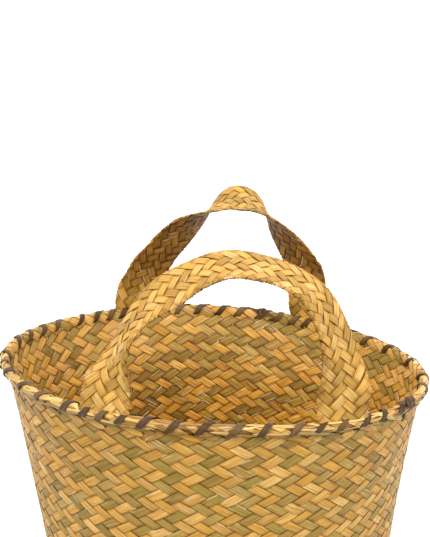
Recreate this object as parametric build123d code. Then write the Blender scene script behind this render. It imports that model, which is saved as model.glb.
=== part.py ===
from build123d import *
import math
import os

# Seagrass storage basket: flared round body woven on the bias, whipped rim,
# and two flat braided handles. Millimetres, +Z up. The origin is the centre
# of the underside of the base.

# ---- driving dimensions -------------------------------------------------
body_height = 235.0        # underside of the base to the rim centre line
rim_radius = 150.0         # rim centre line, measured at mid height of the slant
rim_slope = 0.0547         # the rim falls towards +X: dz = -rim_slope * x
rim_flare = 0.25           # growth of the rim radius per mm of rim height
wall_thickness = 2.6       # two layers of flat strip
wall_top_radius = 149.0    # mid surface of the wall at rim height
wall_taper = 0.2309        # tangent of the taper at the rim
wall_bow = 3.5e-4          # the taper eases off going down
corner_radius = 16.0       # turn from wall to base
base_thickness = 3.0
base_disc_radius = 97.0
rim_core_r = 3.0           # bundle of straw stalks under the lashing
rim_core_drop = 0.9        # centre of the bundle below the rim centre line
lashing_gap = 0.06
lashing_thickness = 0.8
lashing_width = 4.2
border_thickness = 1.2     # strip ends folded down outside, under the rim
border_top = 6.2           # below the rim centre line
border_bottom = 17.0
strap_thickness = 3.2
tongue_thickness = 2.0     # strap end squeezed flat inside the bundle
tongue_offset = 0.72       # outside the bundle's centre line
tongue_top = 2.3           # above the bundle's centre line
tongue_bottom = 5.0        # below it

# Centre line of each handle strap from its left bend line to its right one:
# x, y, height above the rim centre plane at x = 0, the turn of the strap's
# width from the +Y direction about its own line in degrees, and its width.
front_strap = [
    (-70.1, -132.3, 16.9, 80, 38.5), (-65.8, -130.5, 29.9, 42, 32.5), (-60.6, -129.0, 44.4, 20, 30.5),
    (-53.6, -127.8, 58.1, 19, 30.5), (-43.7, -126.9, 70.1, 27, 32.5), (-30.7, -127.0, 79.5, 33, 34.0),
    (-17.0, -127.0, 87.8, 29, 34.0), (-2.6, -127.0, 94.8, 24, 34.0), (13.2, -127.0, 96.8, 20, 34.0),
    (29.0, -127.0, 94.0, 18, 34.0), (44.1, -127.0, 88.6, 19, 34.0), (57.4, -127.0, 79.7, 24, 34.0),
    (66.8, -127.1, 67.0, 32, 34.0), (72.8, -127.3, 52.5, 38, 33.5), (77.0, -127.3, 37.5, 48, 34.5),
    (79.2, -127.2, 22.3, 62, 37.0), (79.6, -126.8, 8.6, 80, 42.0),
]
rear_strap = [
    (-68.6, 133.6, 13.2, -80, 34.0), (-64.0, 131.4, 26.6, -75, 34.0), (-56.2, 129.4, 40.4, -64, 34.0),
    (-46.9, 127.9, 52.9, -57, 34.0), (-36.9, 127.0, 64.6, -53, 34.0), (-25.8, 127.0, 75.1, -43, 34.0),
    (-13.4, 127.0, 84.2, -21, 34.0), (-0.9, 127.0, 93.0, 6, 34.0), (12.7, 127.0, 99.6, 26, 34.0),
    (27.5, 127.0, 96.8, 21, 34.0), (39.2, 127.0, 87.2, -1, 34.0), (48.3, 127.0, 74.9, -24, 34.0),
    (57.3, 127.4, 62.4, -40, 34.0), (65.9, 128.0, 49.3, -51, 34.0), (71.4, 128.8, 34.5, -65, 34.0),
    (73.5, 129.6, 18.9, -76, 34.0), (74.7, 130.4, 5.0, -80, 34.0),
]

# Where each turn of the lashing crosses the rim, degrees round from +X.
lashing_turns = [
    -178.0, -169.0, -160.0, -148.0, -139.3, -130.0, -124.0, -118.9, -113.7, -108.0, -101.0, -94.0,
    -86.4, -79.6, -71.6, -65.1, -59.1, -51.8, -45.4, -36.8, -30.6, -17.0, -3.0, 12.0,
    26.1, 36.7, 45.0, 53.0, 60.2, 64.7, 71.4, 75.8, 82.8, 89.0, 95.7, 102.0,
    108.0, 114.5, 121.0, 125.6, 130.5, 137.4, 147.0, 154.7, 162.3, 170.0,
]

os.makedirs("parts", exist_ok=True)


def save(shape, name):
    shape.label = name
    export_step(shape, "parts/" + name + ".step")


# ---- body profile -------------------------------------------------------
def wall_radius(z):
    """Radius of the wall's mid surface at height z."""
    d = body_height - z
    return wall_top_radius - wall_taper * d + wall_bow * d * d


def profile_points():
    """Mid surface of the wall from above the rim down and round the corner."""
    pts = []
    z = body_height + 14.0
    while z > corner_radius + 6.0:
        pts.append((wall_radius(z), z))
        z -= 19.0
    zc = corner_radius + base_thickness / 2
    rc = wall_radius(zc)
    pts.append((rc, zc))
    for k in range(1, 7):
        a = math.radians(15.0 * k)
        pts.append((rc - corner_radius * (1 - math.cos(a)) - 0.6 * math.sin(a), zc - corner_radius * math.sin(a)))
    pts.append((base_disc_radius, pts[-1][1]))
    return pts


def offset_line(pts, d):
    """Points shifted by d along the mitred normal, outward positive."""
    out = []
    for i, (r, z) in enumerate(pts):
        def nrm(a, b):
            tr, tz = b[0] - a[0], b[1] - a[1]
            length = math.hypot(tr, tz)
            return (-tz / length, tr / length)
        ns = []
        if i > 0:
            ns.append(nrm(pts[i - 1], pts[i]))
        if i < len(pts) - 1:
            ns.append(nrm(pts[i], pts[i + 1]))
        mr = sum(n[0] for n in ns) / len(ns)
        mz = sum(n[1] for n in ns) / len(ns)
        length = math.hypot(mr, mz)
        mr, mz = mr / length, mz / length
        dot = mr * ns[0][0] + mz * ns[0][1]
        out.append((r + d * mr / dot, z + d * mz / dot))
    return out


def shell(outer, inner):
    """Solid of revolution between two lines of (radius, z) points."""
    loop = [(r, 0, z) for r, z in outer] + [(r, 0, z) for r, z in reversed(inner)]
    face = Face(Wire.make_polygon([Vector(*p) for p in loop], close=True))
    return Solid.revolve(face, 360, Axis.Z)


tilt = math.degrees(math.atan(rim_slope))
tilt_rad = math.radians(tilt)


def below_rim(depth):
    """Large block whose top is the slanted plane at this depth under the rim line."""
    block = Box(500, 500, 600, align=(Align.CENTER, Align.CENTER, Align.MAX))
    return Pos(0, 0, body_height - depth) * Rot(0, tilt, 0) * block


mid = profile_points()
wall_outer = offset_line(mid, wall_thickness / 2)
wall_inner = offset_line(mid, -wall_thickness / 2)
wall_full = shell(wall_outer, wall_inner)

rim_centre = Vector(-rim_flare * rim_slope * rim_radius, 0, body_height - rim_core_drop)
rim_line_radius = rim_radius / math.cos(tilt_rad)
rim_place = Location((rim_centre.X, 0, rim_centre.Z), (0, tilt, 0))



def tongue(x, y, width, gap):
    """End of a strap held inside the rim bundle: a slice of a cylinder round the rim's own axis."""
    r0 = rim_line_radius + tongue_offset - tongue_thickness / 2 - gap
    r1 = r0 + tongue_thickness + 2 * gap
    ring = shell([(r1, tongue_top + gap), (r1, -tongue_bottom - gap)],
                 [(r0, tongue_top + gap), (r0, -tongue_bottom - gap)])
    az = math.atan2(y, x - rim_centre.X)
    block = Box(60, width + 2 * gap, 60, align=(Align.CENTER, Align.CENTER, Align.CENTER))
    place = Location((rim_line_radius * math.cos(az), rim_line_radius * math.sin(az), 0), (0, 0, math.degrees(az)))
    return rim_place * (ring & (place * block))


strap_ends = [(label, side, row) for label, table in (("front_handle", front_strap), ("rear_handle", rear_strap))
              for side, row in (("left", table[0]), ("right", table[-1]))]

rim_core = rim_place * Torus(rim_line_radius, rim_core_r)
woven_wall = (wall_full & below_rim(3.3)) - rim_place * Torus(rim_line_radius, rim_core_r + 0.02)
for label, side, row in strap_ends:
    pocket = tongue(row[0], row[1], row[4], 0.05)
    rim_core = rim_core - pocket
    woven_wall = woven_wall - pocket
save(rim_core, "rim_core")
save(woven_wall, "woven_wall")

# flat plaited disc that closes the bottom, level with the turned-in wall edge
woven_base = Cylinder(base_disc_radius - 0.02, base_thickness, align=(Align.CENTER, Align.CENTER, Align.MIN))
save(woven_base, "woven_base")

# strip ends folded down outside the wall and caught under the lashing
border_outer = offset_line(mid, wall_thickness / 2 + border_thickness)
top_lines = [i for i, (r, z) in enumerate(mid) if z > body_height - 60]
last = max(top_lines) + 1
band = shell(border_outer[:last], wall_outer[:last])
border_fold = (band & below_rim(border_top)) - below_rim(border_bottom)
save(border_fold, "border_fold")

# ---- rim lashing --------------------------------------------------------
e1 = Vector(math.cos(tilt_rad), 0, -math.sin(tilt_rad))
e2 = Vector(0, 1, 0)
up = Vector(math.sin(tilt_rad), 0, math.cos(tilt_rad))
loop_start = -52.0         # the turn starts outside the strap ends and stops at the wall's inside
loop_sweep = 265.0
r_in = rim_core_r + lashing_gap
r_out = r_in + lashing_thickness


def lashing_loop(theta):
    """One turn of flat strand round the core, open where the wall enters."""
    radial = e1 * math.cos(theta) + e2 * math.sin(theta)
    tangent = e2 * math.cos(theta) - e1 * math.sin(theta)
    origin = rim_centre + radial * rim_line_radius
    a0, a1 = math.radians(loop_start), math.radians(loop_start + loop_sweep)
    am = (a0 + a1) / 2

    def at(r, a):
        return (r * math.cos(a), r * math.sin(a))
    with BuildPart() as loop:
        with BuildSketch(Plane(origin=origin - tangent * (-lashing_width / 2), x_dir=radial, z_dir=-tangent)):
            with BuildLine():
                ThreePointArc(at(r_out, a0), at(r_out, am), at(r_out, a1))
                Line(at(r_out, a1), at(r_in, a1))
                ThreePointArc(at(r_in, a1), at(r_in, am), at(r_in, a0))
                Line(at(r_in, a0), at(r_out, a0))
            make_face()
        extrude(amount=lashing_width)
    return loop.part.solid()


loops = [lashing_loop(math.radians(turn)) for turn in lashing_turns]
save(Compound(children=loops), "rim_lashing")


# the lashing strand's knots, one outside the rim and one inside it
def knot(theta, side, length, radius):
    radial = e1 * math.cos(theta) + e2 * math.sin(theta)
    tangent = e2 * math.cos(theta) - e1 * math.sin(theta)
    away = (radial * math.cos(side) + up * math.sin(side)).normalized()
    centre = rim_centre + radial * rim_line_radius + away * (r_out + radius + 0.15)
    half = length / 2
    plane = Plane(origin=centre - tangent * half, x_dir=away, z_dir=tangent)
    body = Solid.make_cylinder(radius, length, plane)
    return fillet(Part(body.wrapped).edges(), radius * 0.6)


knots = [knot(math.radians(75.8), math.radians(150.0), 9.0, 1.8),
         knot(math.radians(-33.7), math.radians(20.0), 8.0, 1.6)]
save(Compound(children=[k.solid() for k in knots]), "lashing_knots")


# ---- handles ------------------------------------------------------------
def smooth(table, n):
    """Catmull-Rom interpolation of a table of stations."""
    rows = []
    m = len(table) - 1
    for k in range(n + 1):
        t = k * m / n
        i = min(int(t), m - 1)
        u = t - i
        p0 = table[i - 1] if i > 0 else [2 * a - b for a, b in zip(table[0], table[1])]
        p1, p2 = table[i], table[i + 1]
        p3 = table[i + 2] if i + 2 <= m else [2 * a - b for a, b in zip(table[m], table[m - 1])]
        rows.append([0.5 * (2 * b + (c - a) * u + (2 * a - 5 * b + 4 * c - d) * u * u
                            + (3 * b - a - 3 * c + d) * u ** 3)
                     for a, b, c, d in zip(p0, p1, p2, p3)])
    return rows


def strap(table, n=40):
    """Flat strap lofted through its stations."""
    rows = smooth(table, n)
    pts = [Vector(r[0], r[1], body_height + r[2]) for r in rows]
    sections = []
    for i, r in enumerate(rows):
        a, b = pts[max(i - 1, 0)], pts[min(i + 1, n)]
        t = (b - a).normalized()
        side = t.cross(Vector(0, 1, 0)).normalized()
        across = side.cross(t).normalized()
        psi = math.radians(r[3])
        width_dir = across * math.cos(psi) + side * math.sin(psi)
        plane = Plane(origin=pts[i], x_dir=width_dir, z_dir=t)
        sections.append(plane * Rectangle(r[4], strap_thickness))
    return loft(sections, ruled=True)


front_handle = strap(front_strap)
rear_handle = strap(rear_strap)
save(front_handle, "front_handle")
save(rear_handle, "rear_handle")


# ---- strap ends held in the rim -----------------------------------------
for label, side, row in strap_ends:
    save(tongue(row[0], row[1], row[4], 0.0).solid(), label + "_foot_" + side)

for label, table in (("front", front_strap), ("rear", rear_strap)):
    a, b = table[0], table[-1]
    print(label, "bend line from", [round(a[0], 1), round(a[1], 1), round(body_height + a[2], 1)],
          "to", [round(b[0], 1), round(b[1], 1), round(body_height + b[2], 1)])
print("wall outer radius at base corner", round(max(r for r, z in wall_outer if z < 30), 1))
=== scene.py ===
import math

import bpy
import numpy as np
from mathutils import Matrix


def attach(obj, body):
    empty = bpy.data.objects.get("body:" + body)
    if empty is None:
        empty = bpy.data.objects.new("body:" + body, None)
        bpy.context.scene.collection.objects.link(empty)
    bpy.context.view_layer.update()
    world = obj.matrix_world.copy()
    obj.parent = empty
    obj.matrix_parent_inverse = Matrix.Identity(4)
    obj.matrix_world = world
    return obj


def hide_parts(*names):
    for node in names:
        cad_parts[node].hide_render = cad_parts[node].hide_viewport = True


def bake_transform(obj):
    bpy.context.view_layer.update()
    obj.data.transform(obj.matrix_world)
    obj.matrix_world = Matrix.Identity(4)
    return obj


# Seagrass storage basket: every strip of the wall, the base, the rim, the
# lashing and the two braided handles is its own closed flat strip.
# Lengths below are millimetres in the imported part's frame.

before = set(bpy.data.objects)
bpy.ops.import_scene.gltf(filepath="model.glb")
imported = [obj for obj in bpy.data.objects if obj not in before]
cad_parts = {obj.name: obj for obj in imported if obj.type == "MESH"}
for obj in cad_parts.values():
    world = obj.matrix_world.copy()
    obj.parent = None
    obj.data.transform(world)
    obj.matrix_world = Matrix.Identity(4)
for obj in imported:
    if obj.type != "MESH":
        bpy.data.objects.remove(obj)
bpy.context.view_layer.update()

MM = 0.001
TAU = 2.0 * math.pi
rng = np.random.default_rng(41)

# ---------------------------------------------------------------- camera
cam_data = bpy.data.cameras.new("camera")
cam_data.lens = 88.76
cam_data.sensor_width = 36.0
cam_data.clip_start = 0.02
cam_data.clip_end = 200.0
cam = bpy.data.objects.new("camera", cam_data)
cam.location = (0.0, -0.9244, 0.4940)
cam.rotation_euler = (math.radians(90.0 - 11.68), 0.0, math.radians(0.11))
bpy.context.scene.collection.objects.link(cam)
bpy.context.scene.camera = cam

# ---------------------------------------------------------------- body form
H = 235.0
CORNER = 16.0


def wall_r(z):
    d = H - z
    return 149.0 - 0.2309 * d + 3.5e-4 * d * d


def rim_dz(phi):
    """Height of the rim's centre line over its mean, all the way round."""
    return -8.2 * np.cos(phi) - 0.87 * np.cos(2 * phi) - 0.46 * np.sin(3 * phi) + 0.5 * np.cos(4 * phi) + 1.3 * np.sin(phi)


def rim_at(phi):
    dz = rim_dz(phi)
    return 150.0 + 0.25 * dz, H + dz


BUNDLE_Z = -1.0   # centre of the straw bundle under the rim line
BUNDLE_R = 2.35
FOLD_R = 2.65     # what the strips that go over the bundle follow


def make_profile():
    """Mid surface: down the outside of the bundle end first, over it, down the wall and round the corner."""
    arc = np.radians(np.arange(0, 181, 15.0))
    rho = np.concatenate([[-1.85, -1.55, -1.30, -1.10, -0.60, 0.35, 1.1, 1.95, 2.5], FOLD_R * np.cos(arc), [-2.80, -2.72, -2.58]])
    zeta = np.concatenate([[-12.8, -11.6, -10.4, -9.0, -7.7, -6.3, -5.0, -3.7, -2.3], BUNDLE_Z + FOLD_R * np.sin(arc), [-2.6, -4.2, -5.6]])
    pts = [(150.0 + a, H + b) for a, b in zip(rho, zeta)]
    n_top = len(pts)
    zs = np.concatenate([np.arange(H - 7.0, 24.0, -3.0), np.arange(23.0, 17.6, -1.5)])
    pts += [(float(wall_r(z)), float(z)) for z in zs]
    zc = CORNER + 1.5
    rc = float(wall_r(zc))
    pts.append((rc, zc))
    for k in range(1, 13):
        a = math.radians(7.5 * k)
        pts.append((rc - CORNER * (1 - math.cos(a)) - 0.6 * math.sin(a), zc - 16.7 * math.sin(a)))
    r0 = pts[-1][0]
    pts += [(r0 - 3.0, 1.0), (r0 - 6.0, 1.0), (r0 - 9.0, 1.0), (r0 - 13.0, 1.0)]
    p = np.array(pts)
    seg = np.hypot(*np.diff(p, axis=0).T)
    s = np.concatenate([[0], np.cumsum(seg)])
    s += 7.2 - s[n_top]  # about zero at the rim line, inside
    t = np.gradient(p, s, axis=0)
    t /= np.linalg.norm(t, axis=1)[:, None]
    n = np.stack([-t[:, 1], t[:, 0]], 1)  # away from the basket's middle on the wall, then down under the base
    return s, p, n


PROF_S, PROF_P, PROF_N = make_profile()


def surf(phi, s):
    """Point and outward normal of the wall's mid surface."""
    r0, z0 = np.interp(s, PROF_S, PROF_P[:, 0]), np.interp(s, PROF_S, PROF_P[:, 1])
    nr, nz = np.interp(s, PROF_S, PROF_N[:, 0]), np.interp(s, PROF_S, PROF_N[:, 1])
    z = z0 * (H + rim_dz(phi)) / H
    r = r0 + wall_r(z) - wall_r(z0)
    up = np.clip((z - 20.0) / 60.0, 0, 1) * np.clip((H - z) / 30.0, 0, 1)
    r = r + up * (0.55 * np.sin(3 * phi + z * 0.021) + 0.35 * np.sin(7 * phi - z * 0.034 + 1.3) + 0.25 * np.sin(11 * phi + z * 0.05))
    c, sn = np.cos(phi), np.sin(phi)
    length = np.hypot(nr, nz)
    nr, nz = nr / length, nz / length
    return np.stack([r * c, r * sn, z], -1), np.stack([nr * c, nr * sn, nz], -1)


# ---------------------------------------------------------------- mesh kit
class Piece:
    """Collects closed strips and tubes, then makes one mesh object of them."""

    def __init__(self, name):
        self.name, self.n = name, 0
        self.v, self.f, self.uv, self.tone, self.charts = [], [], [], [], []
        self.nf = 0

    def sweep(self, rings, across, tone, closed=False, length=None, u0=0.0, chart_len=330.0):
        """rings: (K, R, 3) points. across: R + 1 positions across the strip for the ring's corners."""
        rings = np.asarray(rings, float)
        K, R = rings.shape[:2]
        idx = np.arange(K * R).reshape(K, R) + self.n
        ext = np.concatenate([idx, idx[:1]], 0) if closed else idx
        centre = rings.mean(1)
        step = np.linalg.norm(np.diff(centre, axis=0), axis=1)
        if closed:
            step = np.append(step, np.linalg.norm(centre[0] - centre[-1]))
        along = np.concatenate([[0], np.cumsum(step)])
        ring = rings[K // 2]
        girth = np.concatenate([[0], np.cumsum(np.linalg.norm(np.roll(ring, -1, 0) - ring, axis=1))])
        KK = len(along)
        nxt = np.roll(np.arange(R), -1)
        a, b = ext[:-1], ext[1:]
        quad = np.stack([a, b, b[:, nxt], a[:, nxt]], -1).reshape(-1, 4)
        # faces outward: the first quad's normal against the way from the centre line
        mid = K // 2
        p = rings
        e1 = p[(mid + 1) % K] - p[mid]
        e2 = np.roll(p[mid], -1, 0) - p[mid]
        nrm = np.cross(e1, e2)
        outward = np.sum(nrm * (p[mid] - centre[mid])) > 0
        acr = np.asarray(across, float)
        k0, r0 = np.meshgrid(np.arange(KK - 1), np.arange(R), indexing="ij")
        ku = np.stack([k0, k0 + 1, k0 + 1, k0], -1).reshape(-1, 4)
        ru = np.stack([r0, r0, r0 + 1, r0 + 1], -1).reshape(-1, 4)
        uv = np.stack([(along[ku] + u0) * 0.1, acr[ru]], -1)
        faces, uvs = [quad], [uv]
        # chart positions, in mm: which chart, along, round
        parts = max(1, int(math.ceil(along[-1] / chart_len)))
        per = along[-1] / parts
        which = np.minimum((along[k0.reshape(-1)] + 1e-6) // per, parts - 1).astype(int)
        starts = np.array([along[np.searchsorted(along, w * per - 1e-6)] for w in range(parts)])
        ck = along[ku] - starts[which][:, None]
        bake = np.stack([girth[ru], ck], -1)
        base = len(self.charts)
        for w in range(parts):
            self.charts.append([girth[-1], float(ck[which == w].max()) if (which == w).any() else 1.0])
        bakes, whiches = [bake], [which + base]
        if not closed:
            M = R // 2
            for end, row in ((0, idx[0]), (1, idx[-1])):
                q = np.stack([row[: M - 1], row[1:M], row[R - 2 : R - 1 - M : -1][: M - 1], row[R - 1 : R - M : -1]], -1)
                if end == 0:
                    q = q[:, ::-1]
                q = q[:, ::-1]
                faces.append(q)
                c = np.full((len(q), 4, 2), 0.5)
                c[..., 0] = (along[0 if end == 0 else -1] + u0) * 0.1
                uvs.append(c)
                w = 0 if end == 0 else parts - 1
                cb = np.zeros((len(q), 4, 2))
                cb[..., 0] = girth[1] * np.array([0.1, 0.9, 0.9, 0.1])
                cb[..., 1] = (0.0 if end == 0 else self.charts[base + w][1]) + np.array([0, 0, 0.15, 0.15]) * (1 if end == 0 else -1)
                bakes.append(cb)
                whiches.append(np.full(len(q), base + w))
        F, U = np.concatenate(faces), np.concatenate(uvs)
        Bk, Wh = np.concatenate(bakes), np.concatenate(whiches)
        if not outward:
            F, U, Bk = F[:, ::-1], U[:, ::-1], Bk[:, ::-1]
        self.v.append(rings.reshape(-1, 3))
        self.f.append(F)
        self.uv.append((U, Bk, Wh))
        t = np.asarray(tone, float)
        if t.ndim == 1:
            t = np.broadcast_to(t, (K * R, 4))
        elif t.ndim == 3:
            t = t.reshape(K * R, 4)
        else:
            t = np.repeat(t, R, 0)
        self.tone.append(t)
        self.n += K * R

    def pack_charts(self):
        ch = np.array(self.charts, float)
        pad = 1.2
        order = np.argsort(-ch[:, 1], kind="stable")

        def place(scale):
            x = y = 0.004
            row_h = 0.0
            pos = np.zeros((len(ch), 2))
            for i in order:
                w, h = (ch[i, 0] + pad) * scale, (ch[i, 1] + pad) * scale
                if x + w > 0.996:
                    x, y, row_h = 0.004, y + row_h, 0.0
                pos[i] = (x, y)
                x += w
                row_h = max(row_h, h)
                if x > 0.997 or y + row_h > 0.996:
                    return None
            return pos

        lo, hi = 1e-6, 0.2
        best = None
        for _ in range(26):
            m = math.sqrt(lo * hi)
            got = place(m)
            if got is None:
                hi = m
            else:
                lo, best = m, (m, got)
        return best

    def make(self, material, smooth_angle=48.0):
        V, F = np.concatenate(self.v), np.concatenate(self.f)
        U = np.concatenate([x[0] for x in self.uv])
        Bk = np.concatenate([x[1] for x in self.uv])
        Wh = np.concatenate([x[2] for x in self.uv])
        scale, pos = self.pack_charts()
        Bk = Bk * scale + pos[Wh][:, None, :] + 0.5 * scale
        me = bpy.data.meshes.new(self.name)
        me.vertices.add(len(V))
        me.vertices.foreach_set("co", (V * MM).astype(np.float32).ravel())
        me.loops.add(F.size)
        me.loops.foreach_set("vertex_index", F.astype(np.int32).ravel())
        me.polygons.add(len(F))
        me.polygons.foreach_set("loop_start", np.arange(0, F.size, 4, dtype=np.int32))
        me.update(calc_edges=True)
        me.polygons.foreach_set("use_smooth", np.ones(len(F), bool))
        uv = me.uv_layers.new(name="Strand")
        uv.data.foreach_set("uv", U.astype(np.float32).ravel())
        bk = me.uv_layers.new(name="OFBake")
        bk.data.foreach_set("uv", Bk.astype(np.float32).ravel())
        tone = me.color_attributes.new(name="tone", type="FLOAT_COLOR", domain="POINT")
        tone.data.foreach_set("color", np.concatenate(self.tone).astype(np.float32).ravel())
        if me.validate(verbose=False):
            print("validate changed", self.name)
        me.set_sharp_from_angle(angle=math.radians(smooth_angle))
        me.materials.append(material)
        ob = bpy.data.objects.new(self.name, me)
        bpy.context.scene.collection.objects.link(ob)
        return ob


def lateral(M):
    """Positions across a strip, -1 to 1, closer together at its edges."""
    return {3: np.array([-1, 0, 1.0]), 4: np.array([-1, -0.42, 0.42, 1.0]), 5: np.array([-1, -0.62, 0, 0.62, 1.0]), 6: np.array([-1, -0.72, -0.26, 0.26, 0.72, 1.0])}[M]


def flat_rings(points, normals, across_dir, half, thick, M=4, crown=0.12, bend=0.0, tilt=0.0):
    """Rings of a flat strip laid along points. half, thick and tilt may vary along it."""
    K = len(points)
    x = lateral(M)
    half = np.broadcast_to(half, K)[:, None, None]
    thick = np.broadcast_to(thick, K)[:, None]
    tilt = np.broadcast_to(tilt, K)[:, None]
    base = points[:, None] + across_dir[:, None] * (x[None, :, None] * half)
    lift = tilt * x[None] + bend * (x[None] ** 2)
    top = base + normals[:, None] * (lift + thick / 2 - crown * x[None] ** 2)[..., None]
    low = base + normals[:, None] * (lift - thick / 2 + crown * x[None] ** 2)[..., None]
    return np.concatenate([top, low[:, ::-1]], 1)


def flat_across(M):
    v = (lateral(M) + 1) / 2
    return np.concatenate([v, v[::-1], [v[0]]])


def wave(n, amp, step, seed):
    """Smooth random line of n values."""
    g = np.random.default_rng(seed)
    k = max(4, int(n / step) + 3)
    pts = g.normal(0, 1, k)
    t = np.linspace(0, k - 1.001, n)
    i = t.astype(int)
    u = t - i
    u = u * u * (3 - 2 * u)
    return amp * (pts[i] * (1 - u) + pts[np.minimum(i + 1, k - 1)] * u)


# ---------------------------------------------------------------- materials
def lin(c):
    c = np.asarray(c, float) / 255.0
    return tuple(np.where(c <= 0.04045, c / 12.92, ((c + 0.055) / 1.055) ** 2.4))


class Graph:
    def __init__(self, name):
        self.m = bpy.data.materials.new(name)
        self.m.use_nodes = True
        self.t = self.m.node_tree
        self.t.nodes.clear()
        self.out = self.t.nodes.new("ShaderNodeOutputMaterial")
        self.p = self.t.nodes.new("ShaderNodeBsdfPrincipled")
        self.t.links.new(self.p.outputs["BSDF"], self.out.inputs["Surface"])

    def node(self, kind, **settings):
        n = self.t.nodes.new(kind)
        for k, v in settings.items():
            setattr(n, k, v)
        return n

    def put(self, socket, value):
        if isinstance(value, bpy.types.NodeSocket):
            self.t.links.new(value, socket)
        else:
            socket.default_value = value

    def math(self, op, a, b=None, c=None, clamp=False):
        n = self.node("ShaderNodeMath", operation=op, use_clamp=clamp)
        self.put(n.inputs[0], a)
        if b is not None:
            self.put(n.inputs[1], b)
        if c is not None:
            self.put(n.inputs[2], c)
        return n.outputs[0]

    def vec(self, x, y, z):
        n = self.node("ShaderNodeCombineXYZ")
        for s, v in zip(n.inputs, (x, y, z)):
            self.put(s, v)
        return n.outputs[0]

    def noise(self, vector, scale=1.0, detail=2.0, rough=0.5):
        n = self.node("ShaderNodeTexNoise")
        self.put(n.inputs["Vector"], vector)
        n.inputs["Scale"].default_value = scale
        n.inputs["Detail"].default_value = detail
        n.inputs["Roughness"].default_value = rough
        return n.outputs["Fac"] if "Fac" in n.outputs else n.outputs[0]

    def ramp(self, fac, stops, interpolation="LINEAR"):
        n = self.node("ShaderNodeValToRGB")
        n.color_ramp.interpolation = interpolation
        e = n.color_ramp.elements
        while len(e) < len(stops):
            e.new(0.5)
        for el, (pos, col) in zip(e, stops):
            el.position = pos
            el.color = (*col, 1.0) if len(col) == 3 else col
        self.put(n.inputs["Fac"], fac)
        return n.outputs["Color"]

    def remap(self, v, a, b, c=0.0, d=1.0, smooth=False):
        n = self.node("ShaderNodeMapRange", interpolation_type="SMOOTHSTEP" if smooth else "LINEAR")
        self.put(n.inputs["Value"], v)
        n.inputs["From Min"].default_value = a
        n.inputs["From Max"].default_value = b
        n.inputs["To Min"].default_value = c
        n.inputs["To Max"].default_value = d
        return n.outputs["Result"]

    def mix(self, fac, a, b, blend="MIX"):
        n = self.node("ShaderNodeMix", data_type="RGBA", blend_type=blend)
        self.put(n.inputs["Factor"], fac)
        self.put(n.inputs["A"] if n.inputs["A"].type == "RGBA" else n.inputs[6], a if isinstance(a, bpy.types.NodeSocket) else (*a, 1.0))
        self.put(n.inputs[7], b if isinstance(b, bpy.types.NodeSocket) else (*b, 1.0))
        return n.outputs[2]


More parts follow.
